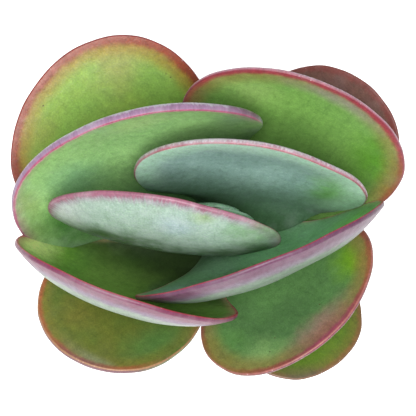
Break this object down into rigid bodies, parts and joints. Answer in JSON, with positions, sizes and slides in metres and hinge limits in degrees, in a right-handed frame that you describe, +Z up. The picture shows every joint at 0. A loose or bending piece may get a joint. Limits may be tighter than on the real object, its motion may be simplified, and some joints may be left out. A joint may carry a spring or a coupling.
{
  "type": "potted paddle plant",
  "caption": "Potted paddle plant: broad, round, fleshy leaves in crossed pairs on a short stem, rooted in soil in a plain round clay pot with a drain hole.",
  "frame": {"origin": "on the floor, on the pot's axis, which is under the middle of the whole plant", "axes": "+Z is up, +X and +Y are level, and -Y is the side whose leaf pairs face the viewer"},
  "size_m": [0.1876, 0.1611, 0.229],
  "materials": {
    "clay": "matt unglazed clay",
    "soil": "crumbly potting mix",
    "stem_skin": "dull green with scars",
    "old_leaf": "satin waxy skin, red-brown edge",
    "grown_leaf": "satin waxy skin, crimson edge",
    "young_leaf": "pale powdery bloom, pink edge"
  },
  "bodies": {
    "root": {"pot": "clay", "soil": "soil", "stem": "stem_skin", "leaf_1_front_right": "old_leaf", "leaf_1_back_left": "old_leaf", "leaf_2_back_right": "old_leaf", "leaf_2_front_left": "old_leaf", "leaf_3_back_left": "old_leaf", "leaf_3_front_right": "old_leaf", "leaf_4_back_right": "grown_leaf", "leaf_4_front_left": "grown_leaf", "leaf_5_back_left": "grown_leaf", "leaf_5_front_right": "grown_leaf", "leaf_6_back_right": "young_leaf", "leaf_6_front_left": "young_leaf", "leaf_7_back_left": "young_leaf", "leaf_7_front_right": "young_leaf"}
  },
  "joints": []
}
